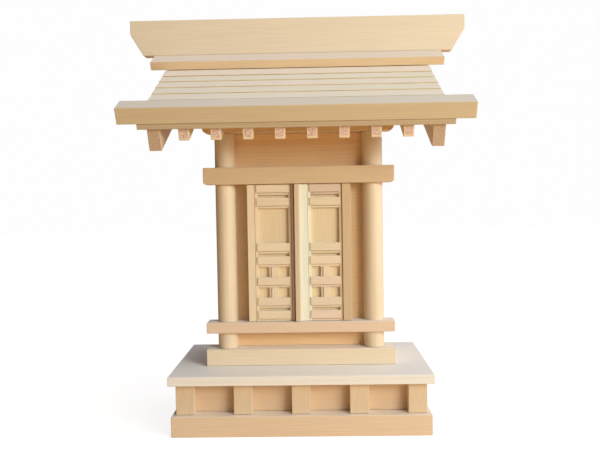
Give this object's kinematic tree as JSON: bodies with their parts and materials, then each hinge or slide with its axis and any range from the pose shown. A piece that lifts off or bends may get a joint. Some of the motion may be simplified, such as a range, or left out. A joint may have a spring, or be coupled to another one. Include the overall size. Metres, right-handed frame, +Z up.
{
  "type": "household altar cabinet",
  "caption": "Small household shrine in plain cypress: a boxed base, round posts, a pair of lattice doors and a pitched roof with a raised ridge board.",
  "frame": {"origin": "on the surface the shrine stands on, at the bottom centre of the bounding box; the ridge runs 33.7 mm behind it", "axes": "+Z up, +X along the ridge to the viewer's right, -Y towards the front with the doors"},
  "size_m": [0.3756, 0.2024, 0.448],
  "materials": {
    "pale_cypress": "planed, unfinished, matte",
    "warm_cypress": "planed, unfinished, matte",
    "roof_cypress": "planed, unfinished, matte"
  },
  "bodies": {
    "cabinet": {"ground_bar_front": "pale_cypress", "ground_bar_back": "pale_cypress", "ground_bar_left": "pale_cypress", "ground_bar_right": "pale_cypress", "base_strut_front_1": "pale_cypress", "base_strut_front_2": "pale_cypress", "base_strut_front_3": "pale_cypress", "base_strut_front_4": "pale_cypress", "base_strut_front_5": "pale_cypress", "base_strut_back_left": "pale_cypress", "base_strut_back_right": "pale_cypress", "base_board_front": "warm_cypress", "base_board_back": "warm_cypress", "base_board_left": "warm_cypress", "base_board_right": "warm_cypress", "base_top_board": "pale_cypress", "sill_bar_front": "pale_cypress", "sill_bar_back": "pale_cypress", "sill_bar_left": "pale_cypress", "sill_bar_right": "pale_cypress", "post_front_left": "pale_cypress", "post_front_right": "pale_cypress", "post_back_left": "pale_cypress", "post_back_right": "pale_cypress", "wall_front": "warm_cypress", "wall_back": "warm_cypress", "wall_left": "warm_cypress", "wall_right": "warm_cypress", "floor_board": "pale_cypress", "rail_lower": "pale_cypress", "rail_upper": "pale_cypress", "beam_front": "warm_cypress", "beam_back": "warm_cypress", "rafter_front_1": "pale_cypress", "rafter_front_2": "pale_cypress", "rafter_front_3": "pale_cypress", "rafter_front_4": "pale_cypress", "rafter_front_5": "pale_cypress", "rafter_front_6": "pale_cypress", "rafter_front_7": "pale_cypress", "rafter_front_8": "pale_cypress", "end_rafter_front_left": "pale_cypress", "end_rafter_front_right": "pale_cypress", "end_rafter_back_left": "pale_cypress", "end_rafter_back_right": "pale_cypress", "roof_deck_front": "roof_cypress", "roof_deck_back": "roof_cypress", "eave_board_front": "roof_cypress", "eave_board_back": "roof_cypress", "shingles_front": "roof_cypress", "shingles_back": "roof_cypress", "ridge_board_front": "roof_cypress", "ridge_board_back": "roof_cypress", "ridge_cap": "roof_cypress"},
    "left_door": {"door_left_frame": "pale_cypress", "door_left_board": "pale_cypress"},
    "right_door": {"door_right_frame": "pale_cypress", "door_right_board": "pale_cypress", "door_right_strip": "pale_cypress"}
  },
  "joints": [
    {"name": "left_door_hinge", "type": "hinge", "parent": "cabinet", "child": "left_door", "pos_m": [-0.0519, -0.00933, 0.1866], "axis": [0, 0, -1], "range_deg": [0, 110]},
    {"name": "right_door_hinge", "type": "hinge", "parent": "cabinet", "child": "right_door", "pos_m": [0.0519, -0.00933, 0.1866], "axis": [0, 0, 1], "range_deg": [0, 110]}
  ]
}
